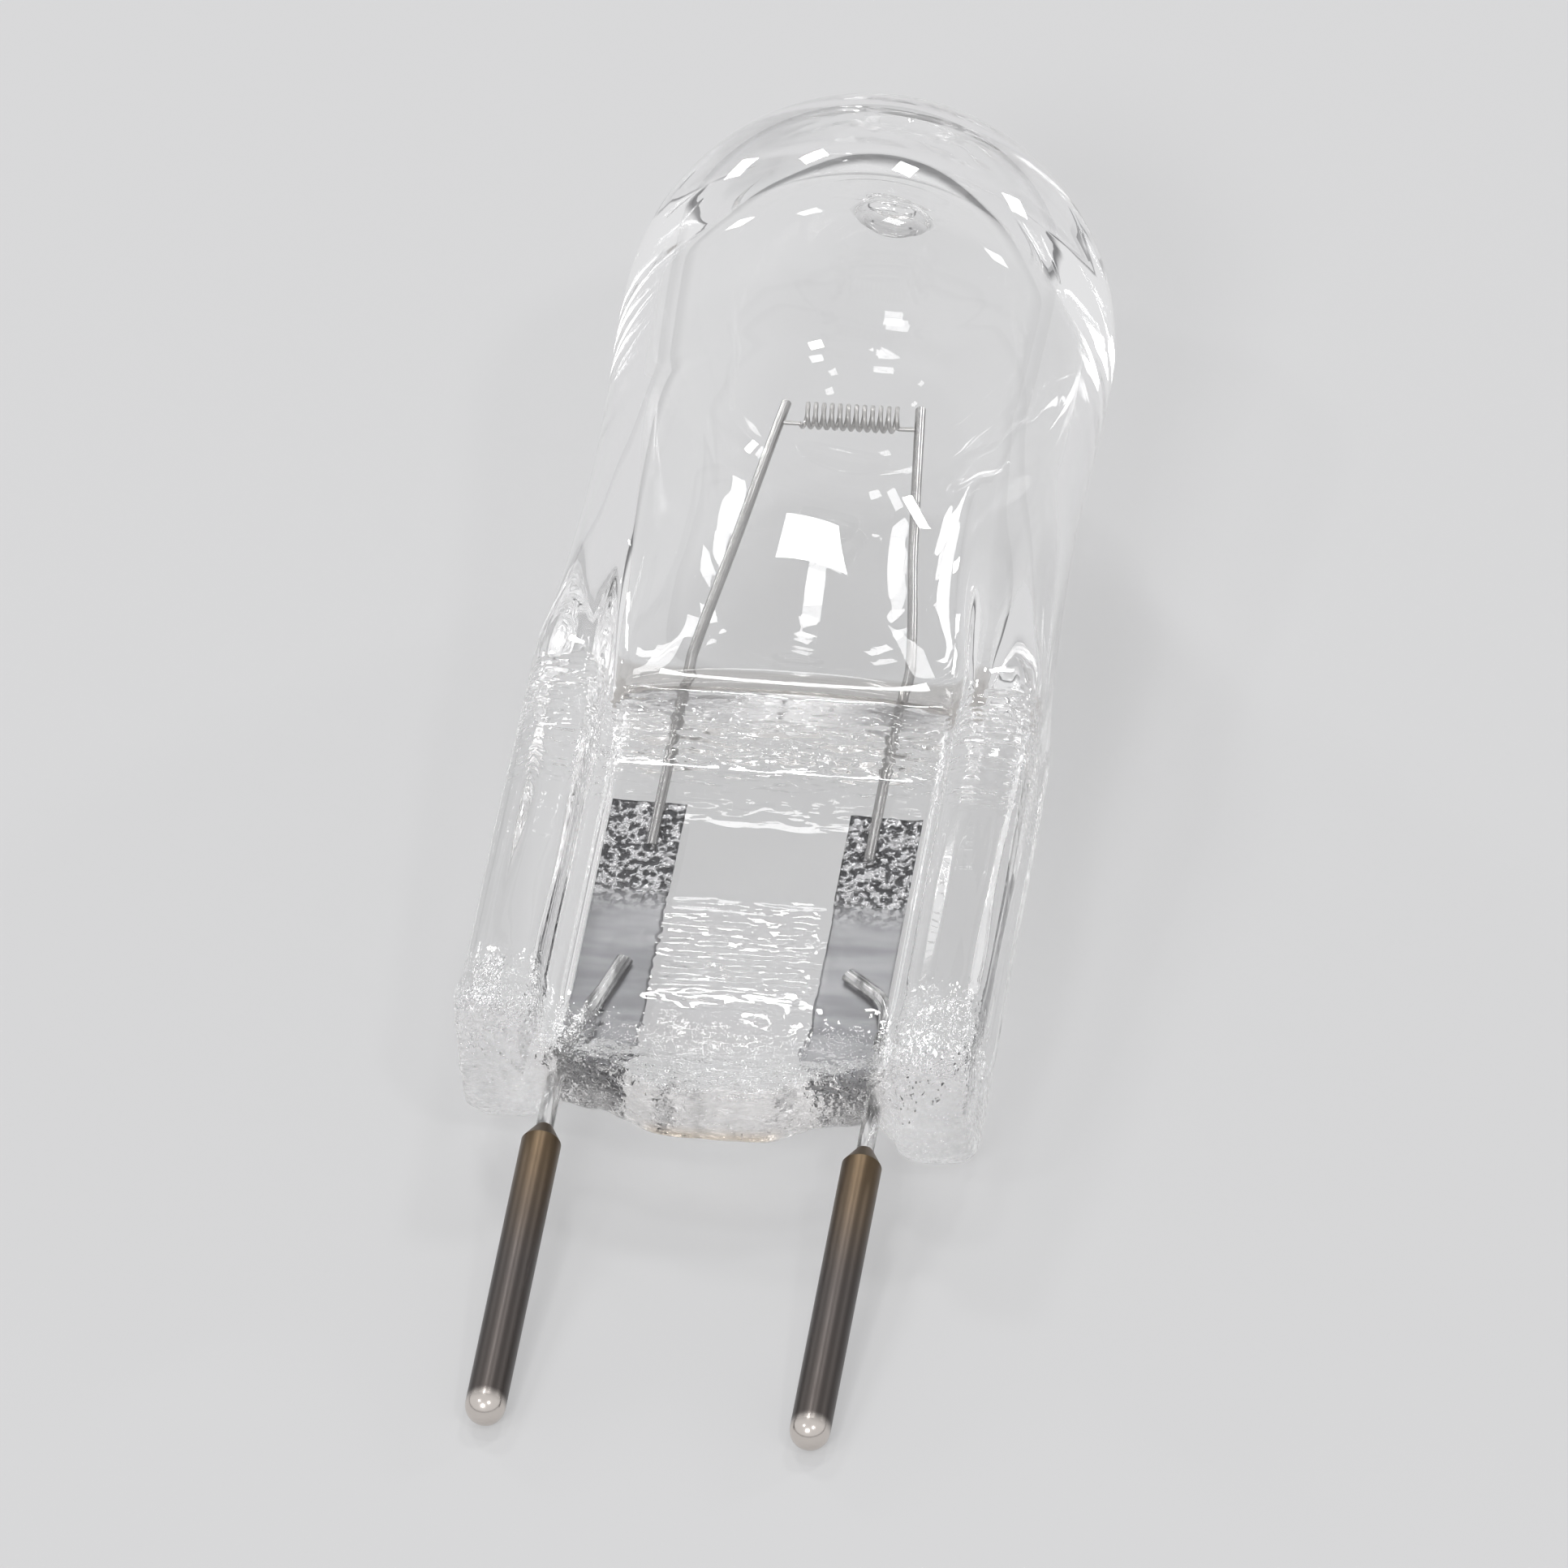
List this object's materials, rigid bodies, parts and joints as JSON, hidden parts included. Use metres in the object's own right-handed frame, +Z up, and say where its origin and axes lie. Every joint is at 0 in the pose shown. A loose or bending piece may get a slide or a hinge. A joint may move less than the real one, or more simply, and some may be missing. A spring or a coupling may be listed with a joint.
{
  "type": "halogen capsule bulb",
  "caption": "Clear quartz halogen capsule bulb with a round dome, a flat pinched seal, stiff contact pins and a coiled filament inside, lying on its side.",
  "frame": {"origin": "on the floor under the middle of the bounding box", "axes": "+Y from the pins towards the dome, +X across the seal, +Z up; the bulb lies on its pin tips and the back of its shoulder"},
  "size_m": [0.013, 0.043, 0.0135],
  "materials": {
    "quartz": "clear, fire-polished",
    "pin_metal": "drawn, heat-tinted",
    "lead_wire": "drawn",
    "foil": "thin crinkled foil",
    "tungsten": "drawn"
  },
  "bodies": {
    "root": {"quartz_envelope": "quartz", "pin_left": "pin_metal", "pin_right": "pin_metal", "outer_lead_left": "lead_wire", "outer_lead_right": "lead_wire", "foil_left": "foil", "foil_right": "foil", "inner_lead_left": "lead_wire", "inner_lead_right": "lead_wire", "filament": "tungsten"}
  },
  "joints": []
}
